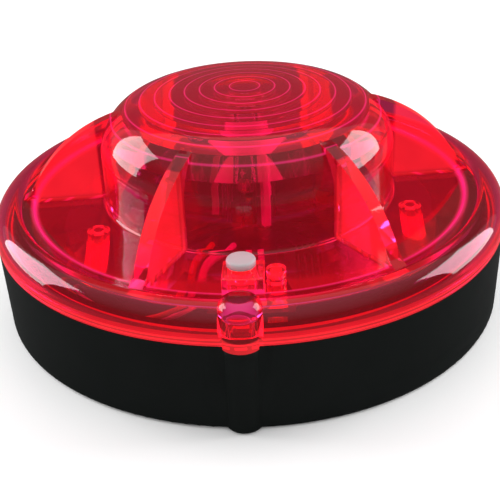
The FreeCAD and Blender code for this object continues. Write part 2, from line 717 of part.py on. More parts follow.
def side_led_leads():
    """Pairs of square leads, from the back of each side LED down to the board."""
    leads = []
    half = LEAD_SIZE / 2
    r = led_base() - LEAD_SIZE * 2
    for a in led_angles():
        for side in (-LEAD_PITCH / 2, LEAD_PITCH / 2):
            upright = box(side - half, side + half, -r - half, -r + half, BOARD_Z, LED_Z + half)
            out = box(side - half, side + half, -led_base(), -r + half, LED_Z - half, LED_Z + half)
            leads.append(turned(join(upright, out), a))
    return leads


def holder_low():
    return LED_Z - HOLDER_HEIGHT / 2


def holder_top():
    return LED_Z + HOLDER_HEIGHT / 2


def led_holder():
    """White moulded cap that carries the LEDs, on three legs."""
    cap = cylinder(HOLDER_RADIUS, holder_low(), holder_top())
    bore = math.hypot(led_base(), LEAD_PITCH / 2 + LEAD_SIZE / 2) + FIT
    cap = cap.cut(cylinder(bore, 0, holder_top() - HOLDER_ROOF))
    legs = []
    for k in range(3):
        leg = box(-HOLDER_LEG / 2, HOLDER_LEG / 2, -HOLDER_RADIUS, -HOLDER_RADIUS + HOLDER_LEG_DEPTH, board_top(),
                  LED_Z - 1)
        legs.append(turned(leg, LEG_FIRST_ANGLE + 120 * k))
    cap = join(cap, *legs)
    for led in side_leds():
        cap = cap.cut(led.copy())
    for side in (-LEAD_PITCH / 2, LEAD_PITCH / 2):
        cap = cap.cut(cylinder(LEAD_SIZE * 0.8, 0, APEX_Z, Vector(side, 0, 0)))
    return cap


def top_led():
    led = led_body()
    led.translate(Vector(0, 0, holder_top()))
    return led


def top_led_leads():
    half = LEAD_SIZE / 2
    sides = (-LEAD_PITCH / 2, LEAD_PITCH / 2)
    return [box(x - half, x + half, -half, half, BOARD_Z, holder_top()) for x in sides]


def top_reflector():
    """White cone around the top LED, which throws the side light outwards."""
    cone = Part.makeCone(HOLDER_RADIUS - LEAD_SIZE, LED_FLANGE + REFLECTOR_TOP_WALL, REFLECTOR_HEIGHT,
                         Vector(0, 0, holder_top()))
    return cone.cut(cylinder(LED_FLANGE + FIT, 0, APEX_Z))


def block_on_board(place, size, rise=0.0):
    """A block of a size, standing on the main board round a place."""
    x, y = place
    low = board_top() + rise
    return box(x - size[0] / 2, x + size[0] / 2, y - size[1] / 2, y + size[1] / 2, low, low + size[2])


def control_chip():
    return block_on_board(CHIP_PLACE, CHIP_SIZE, CHIP_RISE)


def chip_leads():
    leads = []
    out = (CHIP_SIZE[1] + CHIP_PIN[1]) / 2
    for k in range(CHIP_PIN_COUNT):
        x = CHIP_PLACE[0] + (k - (CHIP_PIN_COUNT - 1) / 2) * CHIP_PIN_PITCH
        leads.append(block_on_board((x, CHIP_PLACE[1] - out), CHIP_PIN))
        leads.append(block_on_board((x, CHIP_PLACE[1] + out), CHIP_PIN))
    return leads


def resistors():
    """Chip resistors beside the control chip."""
    return [block_on_board(place, RESISTOR_SIZE) for place in RESISTOR_PLACES]


def capacitor():
    can = cylinder(CAPACITOR_RADIUS, board_top(), board_top() + CAPACITOR_HEIGHT, Vector(*CAPACITOR_PLACE, 0))
    return can.makeFillet(CAPACITOR_ROUND, [e for e in can.Edges if e.BoundBox.ZMin > board_top() + 1])


def coil_space():
    """The groove between the drum's two flanges."""
    at = Vector(*COIL_PLACE, 0)
    low = board_top() + COIL_FLANGE
    high = board_top() + COIL_HEIGHT - COIL_FLANGE
    return at, low, high


def boost_coil():
    at, low, high = coil_space()
    drum = cylinder(COIL_RADIUS, board_top(), board_top() + COIL_HEIGHT, at)
    return drum.cut(cylinder(COIL_RADIUS + 1, low, high, at).cut(cylinder(COIL_CORE, 0, APEX_Z, at)))


def coil_winding():
    at, low, high = coil_space()
    return cylinder(COIL_WOUND, low, high, at).cut(cylinder(COIL_CORE, 0, APEX_Z, at))


# ---- switch and button ----

def switch_top():
    """Top of the switch's body."""
    return TOWER_Z - TOWER_ROOF - SWITCH_DROP


def plunger_top():
    return switch_top() + PLUNGER_RISE


def switch_low():
    return switch_top() - SWITCH_HEIGHT


def switch_body():
    half = SWITCH_WIDTH / 2
    block = box(-half, half, BUTTON_Y - half, BUTTON_Y + half, switch_low(), switch_top())
    well = switch_top() - PLUNGER_WELL
    return block.cut(cylinder(PLUNGER_RADIUS + RUN_GAP, well, APEX_Z, Vector(0, BUTTON_Y, 0)))


def switch_plunger():
    return cylinder(PLUNGER_RADIUS, switch_top() - PLUNGER_SUNK, plunger_top(), Vector(0, BUTTON_Y, 0))


def cap_low():
    return TOWER_Z + SEAL_HEIGHT + BUTTON_TRAVEL + FIT


def push_button():
    at = Vector(0, BUTTON_Y, 0)
    cap = cylinder(BUTTON_RADIUS, cap_low(), cap_low() + BUTTON_HEIGHT, at)
    cap = cap.makeFillet(BUTTON_HEIGHT * 0.3, [e for e in cap.Edges if e.BoundBox.ZMin > cap_low() + 1])
    stem = cylinder(STEM_RADIUS, plunger_top(), cap_low() + STEM_LENGTH_IN_CAP, at)
    roof = TOWER_Z - TOWER_ROOF
    stop = cylinder(STEM_RADIUS + STEM_STOP, roof - FIT - STEM_STOP, roof - FIT, at)
    return join(cap, stem, stop)


def button_seal():
    at = Vector(0, BUTTON_Y, 0)
    outer = cylinder(STEM_RADIUS + SEAL_WALL, TOWER_Z, TOWER_Z + SEAL_HEIGHT, at)
    outer = outer.makeFillet(SEAL_HEIGHT * 0.4, [e for e in outer.Edges if e.BoundBox.ZMin > TOWER_Z + FIT])
    return outer.cut(cylinder(STEM_RADIUS + RUN_GAP, 0, APEX_Z, at))


def switch_board():
    top = switch_low()
    plate = box(-SWITCH_BOARD_LEFT, SWITCH_BOARD_RIGHT, BUTTON_Y - SWITCH_BOARD_FRONT,
                BUTTON_Y + SWITCH_BOARD_BACK, top - SWITCH_BOARD_THICKNESS, top)
    place, radius = cover_posts()[3][:2]
    plate = plate.cut(cylinder(radius + SWITCH_GAP, 0, APEX_Z, place))
    return plate.cut(cylinder(STAKE_RADIUS + FIT, 0, APEX_Z, stake_place()))


def stake_place():
    return Vector(-STAKE_LEFT, BUTTON_Y + STAKE_BACK, 0)


# ---- wires, straight runs joined by tangent arcs ----

def wire(points):
    """A round wire along a route, with each bend as large as its two runs allow."""
    points = [Vector(*p) for p in points]
    edges = []
    here = points[0]
    for before, corner, after in zip(points, points[1:], points[2:]):
        back = before - corner
        ahead = after - corner
        run = 0.45 * min(back.Length, ahead.Length)
        back.normalize()
        ahead.normalize()
        a = corner + back * run
        b = corner + ahead * run
        half_turn = (math.pi - back.getAngle(ahead)) / 2
        radius = run / math.tan(half_turn)
        inward = back + ahead
        inward.normalize()
        middle = corner + inward * (radius / math.cos(half_turn) - radius)
        edges.append(line(here, a))
        edges.append(Part.Arc(a, middle, b).toShape())
        here = b
    edges.append(line(here, points[-1]))
    path = Part.Wire(edges)
    start = points[1] - points[0]
    section = Part.Wire([Part.makeCircle(WIRE_RADIUS, points[0], start)])
    return path.makePipeShell([section], True, False)


def tab_end():
    return -bay_half_length() - BAY_WALL - TAB_REACH


def battery_lead_negative():
    low = board_top() + WIRE_RADIUS
    return wire([
        (tab_end() - SOLDER, -tab_y(), CELL_Z), (-35.0, -7.5, CELL_Z), (-36.0, -19.0, 9.4), (-28.5, -32.0, 11.2),
        (-18.0, -41.0, 14.6), (-10.4, -43.0, 18.2), (-8.4, -35.0, 19.6), (-7.3, -27.5, 19.6), (-4.0, -21.6, 18.6),
        (-2.8, -16.5, low),
    ])


def battery_lead_positive():
    low = board_top() + WIRE_RADIUS
    return wire([
        (tab_end() - SOLDER, tab_y(), CELL_Z), (-36.0, -3.0, 10.0), (-38.6, -18.5, 11.4), (-31.0, -33.5, 13.0),
        (-20.0, -43.6, 16.4), (-12.6, -44.6, 19.2), (-10.1, -37.0, 20.0), (-9.6, -27.5, 19.7),
        (-8.2, -21.0, 18.2), (-7.2, -16.0, low),
    ])


def switch_lead(x):
    low = board_top() + WIRE_RADIUS
    high = switch_low() - SWITCH_BOARD_THICKNESS - WIRE_RADIUS
    return wire([(x, BUTTON_Y + 1.0, high), (x, -34.5, high), (x + 0.4, -29.0, low), (x, -19.8, low)])


def export(name, shape):
    shapes = shape if isinstance(shape, list) else [shape]
    solids = [solid for one in shapes for solid in one.Solids]
    result = solids[0] if len(solids) == 1 else Part.makeCompound(solids)
    print(name, "solids", len(solids), "valid", result.isValid(), "volume", round(result.Volume, 1))
    result.exportStep("parts/" + name + ".step")


def main():
    os.makedirs("parts", exist_ok=True)
    export("lens_cover", lens_cover())
    export("base_housing", base_housing())
    export("cover_seal", seal_ring(SEAL_SECTION))
    export("case_screws", case_screws())
    export("magnets", magnets())
    export("battery_door", battery_door())
    export("door_gasket", door_gasket())
    export("battery_front", front_cell())
    export("battery_rear", turned(front_cell(), 180))
    export("spring_front", front_spring())
    export("spring_rear", turned(front_spring(), 180))
    export("negative_contact", negative_contact())
    export("positive_contact", positive_contact())
    export("bridge_contact", bridge_contact())
    export("main_board", main_board())
    export("led_holder", led_holder())
    export("side_leds", side_leds())
    export("side_led_leads", side_led_leads())
    export("top_led", top_led())
    export("top_led_leads", top_led_leads())
    export("top_reflector", top_reflector())
    export("control_chip", control_chip())
    export("chip_leads", chip_leads())
    export("resistors", resistors())
    export("capacitor", capacitor())
    export("boost_coil", boost_coil())
    export("coil_winding", coil_winding())
    export("switch_board", switch_board())
    export("switch_body", switch_body())
    export("switch_plunger", switch_plunger())
    export("push_button", push_button())
    export("button_seal", button_seal())
    export("battery_lead_negative", battery_lead_negative())
    export("battery_lead_positive", battery_lead_positive())
    export("switch_lead_left", switch_lead(0.4))
    export("switch_lead_right", switch_lead(2.8))


main()
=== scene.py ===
import math

import bmesh
import bpy
from mathutils import Matrix, Vector


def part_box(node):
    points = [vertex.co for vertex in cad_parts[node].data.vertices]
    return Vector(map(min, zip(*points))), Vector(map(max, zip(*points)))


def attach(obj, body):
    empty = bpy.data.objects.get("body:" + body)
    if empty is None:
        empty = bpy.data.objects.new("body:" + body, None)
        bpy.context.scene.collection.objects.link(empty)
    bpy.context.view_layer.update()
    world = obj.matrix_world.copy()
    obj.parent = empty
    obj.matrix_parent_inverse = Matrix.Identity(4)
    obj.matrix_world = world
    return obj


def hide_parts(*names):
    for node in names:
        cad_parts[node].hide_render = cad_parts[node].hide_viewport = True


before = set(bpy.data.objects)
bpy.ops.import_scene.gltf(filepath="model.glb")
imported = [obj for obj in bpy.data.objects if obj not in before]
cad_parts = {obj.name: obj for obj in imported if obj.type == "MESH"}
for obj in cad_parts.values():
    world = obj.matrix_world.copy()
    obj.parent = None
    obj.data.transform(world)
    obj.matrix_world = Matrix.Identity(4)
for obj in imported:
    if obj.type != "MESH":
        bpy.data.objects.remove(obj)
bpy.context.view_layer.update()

bl_info = {
    "name": "Round LED warning light",
    "version": (1, 0, 0),
    "blender": (4, 5, 0),
    "location": "View3D > Sidebar > Warning light",
    "description": "Builds the finish of a round battery warning light around its engineering model",
    "category": "Object",
}

MM = 0.001
PAINTED_RED_GLOW = "#FF2E34"        # painted red glow at the foot, the ribs and all over: emission standing in for light the clear cover carries to its edges
PAINTED_PINK_GLOW = "#FF2A80"       # painted pink glow: a painted highlight line at the floor's crease and on each lens ring
FOOT_PAINTED_GLOW = 0.6             # strengths of the painted glow
RIB_PAINTED_GLOW = 0.3
CREASE_PAINTED_GLOW = 0.7
RING_LINE_PAINTED_GLOW = 0.4
ALL_OVER_PAINTED_GLOW = 0.07
DOME_FALL = 0.0042          # how the middle of the dome's wall falls with the radius squared, in millimetres
SHOULDER_FALL = 4.2e-12     # and with its eighth power, which tells only at the shoulder


# ---------------------------------------------------------------- small helpers

def linear(hex_colour):
    """An sRGB hex colour as linear RGBA."""
    channels = [int(hex_colour[i:i + 2], 16) / 255 for i in (1, 3, 5)]
    return [c / 12.92 if c <= 0.04045 else ((c + 0.055) / 1.055) ** 2.4 for c in channels] + [1.0]


def add(tree, kind, settings=None, links=None):
    """Add a node, set its properties and sockets by name or number, and link outputs into it."""
    node = tree.nodes.new(kind)
    for key, value in (settings or {}).items():
        if isinstance(key, str) and hasattr(node, key):
            setattr(node, key, value)
        else:
            node.inputs[key].default_value = value
    for key, source in (links or {}).items():
        tree.links.new(source, node.inputs[key])
    return node


def mesh_object(name, mesh):
    thing = bpy.data.objects.new(name, mesh)
    bpy.context.collection.objects.link(thing)
    return thing


def finished(bm, name):
    """An object from a bmesh, with its doubles merged and its faces outward."""
    bmesh.ops.remove_doubles(bm, verts=bm.verts, dist=1e-6)
    bmesh.ops.recalc_face_normals(bm, faces=bm.faces)
    mesh = bpy.data.meshes.new(name)
    bm.to_mesh(mesh)
    bm.free()
    return mesh_object(name, mesh)


def smooth(thing, degrees=32.0):
    """Smooth shading that keeps edges sharper than an angle."""
    thing.data.shade_smooth()
    thing.data.set_sharp_from_angle(angle=math.radians(degrees))


def applied(thing):
    """Turn what the modifiers make into the object's own mesh and drop them."""
    graph = bpy.context.evaluated_depsgraph_get()
    made = bpy.data.meshes.new_from_object(thing.evaluated_get(graph))
    thing.modifiers.clear()
    thing.data = made
    made.name = thing.name
    return thing


def paint(thing, material):
    thing.data.materials.clear()
    thing.data.materials.append(material)


def lathe(name, outline, segments, axis=Vector((0, 0, 0))):
    """A closed solid of revolution about a vertical axis, from (radius, height) points in millimetres."""
    bm = bmesh.new()
    verts = [bm.verts.new((r * MM, 0, z * MM)) for r, z in outline]
    for a, b in zip(verts, verts[1:]):
        bm.edges.new((a, b))
    bmesh.ops.spin(bm, geom=bm.verts[:] + bm.edges[:], cent=(0, 0, 0), axis=(0, 0, 1),
                   angle=2 * math.pi, steps=segments, use_duplicate=False)
    bmesh.ops.translate(bm, verts=bm.verts, vec=axis * MM)
    return finished(bm, name)


def arc_points(r, z, radius, start, end, steps):
    """Points on an arc in the (radius, height) plane, angles in degrees."""
    points = []
    for k in range(steps + 1):
        turn = math.radians(start + (end - start) * k / steps)
        points.append((r + radius * math.cos(turn), z + radius * math.sin(turn)))
    return points


def unite(thing, others):
    """Weld closed pieces into one closed mesh."""
    for other in others:
        modifier = thing.modifiers.new("weld", "BOOLEAN")
        modifier.operation = "UNION"
        modifier.solver = "MANIFOLD"
        modifier.object = other
    applied(thing)
    for other in others:
        bpy.data.objects.remove(other)


def cut_away(thing, others):
    for other in others:
        modifier = thing.modifiers.new("cut", "BOOLEAN")
        modifier.operation = "DIFFERENCE"
        modifier.solver = "MANIFOLD"
        modifier.object = other
    applied(thing)
    for other in others:
        bpy.data.objects.remove(other)


def block(name, low, high, edge=0.0):
    """A closed block between two corners in millimetres, with its edges rounded."""
    bm = bmesh.new()
    bmesh.ops.create_cube(bm, size=1)
    size = [(h - l) * MM for l, h in zip(low, high)]
    centre = [(h + l) / 2 * MM for l, h in zip(low, high)]
    bmesh.ops.scale(bm, vec=size, verts=bm.verts)
    bmesh.ops.translate(bm, vec=centre, verts=bm.verts)
    if edge:
        bmesh.ops.bevel(bm, geom=bm.edges[:], offset=edge * MM, segments=3, profile=0.5, affect="EDGES")
    return finished(bm, name)


def copy_of(node):
    """A merged, smooth copy of an engineering solid, which then stands for it."""
    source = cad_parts[node]
    bm = bmesh.new()
    bm.from_mesh(source.data)
    bm.transform(source.matrix_world)
    bmesh.ops.remove_doubles(bm, verts=bm.verts, dist=2e-6)
    mesh = bpy.data.meshes.new(node)
    bm.to_mesh(mesh)
    bm.free()
    thing = mesh_object(node + "_skin", mesh)
    smooth(thing)
    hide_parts(node)
    return thing


# ---------------------------------------------------------------- materials

def begin_material(name):
    """A new material with its Principled shader, and the tree to build on."""
    material = bpy.data.materials.new(name)
    material.use_nodes = True
    tree = material.node_tree
    tree.nodes.clear()
    shader = add(tree, "ShaderNodeBsdfPrincipled")
    output = add(tree, "ShaderNodeOutputMaterial")
    tree.links.new(shader.outputs[0], output.inputs["Surface"])
    return material, tree, shader, output


def grain(tree, millimetres, detail=2.0):
    """Noise whose features are about a real size across, in object space."""
    place = add(tree, "ShaderNodeTexCoord")
    return add(tree, "ShaderNodeTexNoise", {"Scale": 1 / (millimetres * MM), "Detail": detail},
               {"Vector": place.outputs["Object"]})


def between(tree, factor, low, high):
    """Turn a 0 to 1 factor into values from low to high."""
    spread = add(tree, "ShaderNodeMapRange", {"To Min": low, "To Max": high}, {"Value": factor})
    return spread.outputs[0]


def bump_from(tree, shader, height, strength, millimetres):
    bump = add(tree, "ShaderNodeBump", {"Strength": strength, "Distance": millimetres * MM},
               {"Height": height})
    tree.links.new(bump.outputs[0], shader.inputs["Normal"])


def shifted(tree, shader, factor, first, second):
    """Base colour that wanders between two hex colours."""
    mix = add(tree, "ShaderNodeMix", {"data_type": "RGBA"}, {"Factor": factor})
    mix.inputs["A"].default_value = linear(first)
    mix.inputs["B"].default_value = linear(second)
    tree.links.new(mix.outputs["Result"], shader.inputs["Base Color"])


def moulded_plastic(name, first, second, roughness, grain_mm, bump=0.15, depth_mm=0.02, ior=1.53, gloss=0.5):
    """Injection-moulded plastic: a fine sparked grain and a slightly uneven gloss."""
    material, tree, shader, _ = begin_material(name)
    shader.inputs["IOR"].default_value = ior
    shader.inputs["Specular IOR Level"].default_value = gloss
    cloud = grain(tree, 9.0)
    fine = grain(tree, grain_mm)
    shifted(tree, shader, cloud.outputs[0], first, second)
    tree.links.new(between(tree, cloud.outputs[0], roughness - 0.05, roughness + 0.06),
                   shader.inputs["Roughness"])
    bump_from(tree, shader, fine.outputs[0], bump, depth_mm)
    return material


def metal(name, first, second, roughness, grain_mm, stretch=(1, 1, 1)):
    """Plated or drawn metal with fine directional marks."""
    material, tree, shader, _ = begin_material(name)
    shader.inputs["Metallic"].default_value = 1.0
    place = add(tree, "ShaderNodeTexCoord")
    lay = add(tree, "ShaderNodeMapping", {"Scale": stretch}, {"Vector": place.outputs["Object"]})
    marks = add(tree, "ShaderNodeTexNoise", {"Scale": 1 / (grain_mm * MM), "Detail": 3.0},
                {"Vector": lay.outputs[0]})
    shifted(tree, shader, marks.outputs[0], first, second)
    tree.links.new(between(tree, marks.outputs[0], roughness - 0.08, roughness + 0.12),
                   shader.inputs["Roughness"])
    bump_from(tree, shader, marks.outputs[0], 0.1, 0.01)
    return material


def clear_plastic(name, tint, wall_tint, roughness, ior):
    """Clear moulded plastic. Light from a lamp passes it, tinted by one wall, so what is inside is lit."""
    material, tree, shader, output = begin_material(name)
    shader.inputs["Base Color"].default_value = linear(tint)
    shader.inputs["Transmission Weight"].default_value = 1.0
    shader.inputs["Roughness"].default_value = roughness
    shader.inputs["IOR"].default_value = ior
    bump_from(tree, shader, grain(tree, 14.0, 1.0).outputs[0], 0.12, 0.1)
    path = add(tree, "ShaderNodeLightPath")
    open_side = add(tree, "ShaderNodeBsdfTransparent")
    open_side.inputs["Color"].default_value = linear(wall_tint)
    mix = add(tree, "ShaderNodeMixShader", {}, {0: path.outputs["Is Shadow Ray"], 1: shader.outputs[0],
                                              2: open_side.outputs[0]})
    tree.links.new(mix.outputs[0], output.inputs["Surface"])
    return material, tree, shader


def within(tree, value, low, high, soft):
    """1 where a value lies between two limits in metres, fading over a soft width."""
    rise = add(tree, "ShaderNodeMapRange", {"From Min": low - soft, "From Max": low + soft}, {"Value": value})
    fall = add(tree, "ShaderNodeMapRange",
               {"From Min": high - soft, "From Max": high + soft, "To Min": 1.0, "To Max": 0.0}, {"Value": value})
    both = add(tree, "ShaderNodeMath", {"operation": "MULTIPLY"}, {0: rise.outputs[0], 1: fall.outputs[0]})
    return both.outputs[0]


def painted_ring_line_mask(tree, out, up):
    """1 above each lens ring on the dome's outside, where a painted highlight line stands in for the ring's step,
    which is too low to show.
    """
    s = sizes()
    from_ring = add(tree, "ShaderNodeMath", {"operation": "PINGPONG", 1: s.ring_pitch / 2 * MM},
                    {0: out}).outputs[0]
    line = within(tree, from_ring, -MM, 0.16 * MM, 0.09 * MM)
    on_rings = within(tree, out, 0.5 * s.ring_pitch * MM, 9.4 * s.ring_pitch * MM, 0.1 * MM)
    # the outside is what lies above the middle of the wall: a flat arc that falls away faster at the shoulder
    across = add(tree, "ShaderNodeMath", {"operation": "MULTIPLY", 1: 1 / MM}, {0: out}).outputs[0]
    arc = add(tree, "ShaderNodeMath", {"operation": "POWER", 1: 2.0}, {0: across}).outputs[0]
    fall = add(tree, "ShaderNodeMath", {"operation": "POWER", 1: 8.0}, {0: across}).outputs[0]
    level = (overall()[2] - s.wall / 2) * MM
    crown = add(tree, "ShaderNodeMath", {"operation": "MULTIPLY_ADD", 1: DOME_FALL * MM, 2: -level},
                {0: arc}).outputs[0]
    drop = add(tree, "ShaderNodeMath", {"operation": "MULTIPLY_ADD", 1: SHOULDER_FALL * MM},
               {0: fall, 2: crown}).outputs[0]
    above = add(tree, "ShaderNodeMath", {"operation": "ADD"}, {0: up, 1: drop}).outputs[0]
    outside = add(tree, "ShaderNodeMath", {"operation": "GREATER_THAN", 1: 0.0}, {0: above}).outputs[0]
    both = add(tree, "ShaderNodeMath", {"operation": "MULTIPLY"}, {0: line, 1: on_rings}).outputs[0]
    return add(tree, "ShaderNodeMath", {"operation": "MULTIPLY"}, {0: both, 1: outside}).outputs[0]


def polycarbonate_with_painted_glow():
    """Clear red polycarbonate with a painted glow: emission at its foot, ribs, crease and rings, and faintly all
    over.
    """
    material, tree, shader = clear_plastic("red_polycarbonate", "#FF3C96", "#FF8CC0", 0.045, 1.585)
    s = sizes()
    seam = overall()[1]
    place = add(tree, "ShaderNodeTexCoord")
    split = add(tree, "ShaderNodeSeparateXYZ", {}, {0: place.outputs["Object"]})
    flat = add(tree, "ShaderNodeVectorMath", {"operation": "MULTIPLY", 1: (1, 1, 0)},
               {0: place.outputs["Object"]})
    out = add(tree, "ShaderNodeVectorMath", {"operation": "LENGTH"}, {0: flat.outputs[0]}).outputs["Value"]
    up = split.outputs["Z"]
    # painted glow masks: the foot band and the ribs above the floor
    foot = within(tree, up, (seam - 2) * MM, (seam + s.flange_height - 0.15) * MM, 0.15 * MM)
    above = within(tree, up, (s.floor_z + 0.35) * MM, 60 * MM, 0.3 * MM)
    ring_zone = within(tree, out, (s.dome_radius + 0.7) * MM, (s.floor_radius - 0.2) * MM, 0.2 * MM)
    ribs = add(tree, "ShaderNodeMath", {"operation": "MULTIPLY"}, {0: above, 1: ring_zone}).outputs[0]
    # the crease: a painted pink highlight line round the floor's edge
    crease_r = within(tree, out, (s.floor_radius - 0.35) * MM, (s.floor_radius + 0.8) * MM, 0.45 * MM)
    crease_z = within(tree, up, (s.floor_z - 0.2) * MM, (s.floor_z + 1.0) * MM, 0.15 * MM)
    crease = add(tree, "ShaderNodeMath", {"operation": "MULTIPLY"}, {0: crease_r, 1: crease_z}).outputs[0]
    uneven = grain(tree, 11.0, 2.0).outputs[0]
    varied = between(tree, uneven, 0.55, 1.35)
    foot_painted_glow = add(tree, "ShaderNodeMath", {"operation": "MULTIPLY", 1: FOOT_PAINTED_GLOW}, {0: foot}).outputs[0]
    rib_painted_glow = add(tree, "ShaderNodeMath", {"operation": "MULTIPLY_ADD", 1: RIB_PAINTED_GLOW},
                   {0: ribs, 2: foot_painted_glow}).outputs[0]
    crease_painted_glow = add(tree, "ShaderNodeMath", {"operation": "MULTIPLY_ADD", 1: CREASE_PAINTED_GLOW},
                      {0: crease, 2: rib_painted_glow}).outputs[0]
    rings = painted_ring_line_mask(tree, out, up)
    ring_painted_glow = add(tree, "ShaderNodeMath", {"operation": "MULTIPLY_ADD", 1: RING_LINE_PAINTED_GLOW, 2: ALL_OVER_PAINTED_GLOW},
                    {0: rings}).outputs[0]
    # painted glow: emission strength from the foot band, ribs, crease and ring lines, plus a faint glow all over
    strength = add(tree, "ShaderNodeMath", {"operation": "MULTIPLY_ADD"},
                   {0: crease_painted_glow, 1: varied, 2: ring_painted_glow}).outputs[0]
    cool = add(tree, "ShaderNodeMath", {"operation": "MAXIMUM"}, {0: crease, 1: rings}).outputs[0]
    # colour of the painted glow: red, and pink on the crease and ring lines
    colour = add(tree, "ShaderNodeMix", {"data_type": "RGBA"}, {"Factor": cool})
    colour.inputs["A"].default_value = linear(PAINTED_RED_GLOW)
    colour.inputs["B"].default_value = linear(PAINTED_PINK_GLOW)
    tree.links.new(colour.outputs["Result"], shader.inputs["Emission Color"])
    tree.links.new(strength, shader.inputs["Emission Strength"])
    return material


def make_materials():
    """Every finish on the light, by a maker's name for it."""
    return {
        # red polycarbonate, polished mould: glassy, with a painted glow at its edges
        "red_polycarbonate": polycarbonate_with_painted_glow(),
        # satin ABS, sparked mould: soft broad highlights on near black
        "black_abs": moulded_plastic("black_abs", "#0F1211", "#141716", 0.36, 0.35, gloss=0.12),
        # satin acetal push button
        "white_acetal": moulded_plastic("white_acetal", "#B9AEB1", "#AFA4A7", 0.42, 0.3, 0.08, gloss=0.3),
        # clear silicone washer, slightly cloudy
        "clear_silicone": clear_plastic("clear_silicone", "#F29AAE", "#F6B9C2", 0.25, 1.41)[0],
        # glossy white ABS of the lamp holder
        "white_abs": moulded_plastic("white_abs", "#F2F1EC", "#E6E5E0", 0.30, 0.3, 0.08),
        # water-clear epoxy of the LEDs
        "led_epoxy": clear_plastic("led_epoxy", "#F4F7F8", "#F8FAFA", 0.03, 1.55)[0],
        "solder_mask": moulded_plastic("solder_mask", "#0E4A28", "#0B3B20", 0.28, 0.5, 0.2),
        "black_epoxy": moulded_plastic("black_epoxy", "#17181A", "#202124", 0.5, 0.12),
        "alumina_chip": moulded_plastic("alumina_chip", "#26272B", "#3A3B40", 0.35, 0.2),
        "nitrile_rubber": moulded_plastic("nitrile_rubber", "#101010", "#191919", 0.62, 0.25),
        "insulation_red": moulded_plastic("insulation_red", "#C0161C", "#A81218", 0.38, 0.5),
        "insulation_white": moulded_plastic("insulation_white", "#E4E1D8", "#D6D2C8", 0.38, 0.5),
        "can_sleeve": moulded_plastic("can_sleeve", "#16204A", "#10183A", 0.25, 0.5),
        "cell_foil": moulded_plastic("cell_foil", "#3B4A58", "#2E3B47", 0.28, 0.8),
        "ferrite": moulded_plastic("ferrite", "#2A2A2D", "#1F1F22", 0.55, 0.15),
        "acetal_plunger": moulded_plastic("acetal_plunger", "#D8CDB6", "#CDC2AA", 0.4, 0.2),
        # bright zinc on steel screws and springs
        "zinc_steel": metal("zinc_steel", "#B9BDC0", "#9DA2A6", 0.30, 0.25),
        # nickel on the magnets and contacts
        "nickel_plate": metal("nickel_plate", "#D2CFC6", "#BDB9AF", 0.20, 1.5),
        "tinned_lead": metal("tinned_lead", "#D8DADB", "#BFC2C4", 0.28, 0.3),
        "enamelled_copper": metal("enamelled_copper", "#B5622B", "#8C4519", 0.30, 0.3, (0.2, 0.2, 4)),
    }


# ---------------------------------------------------------------- sizes and colours

def millimetres(name, description, default):
    return bpy.props.FloatProperty(name=name, description=description, default=default, min=0.0)


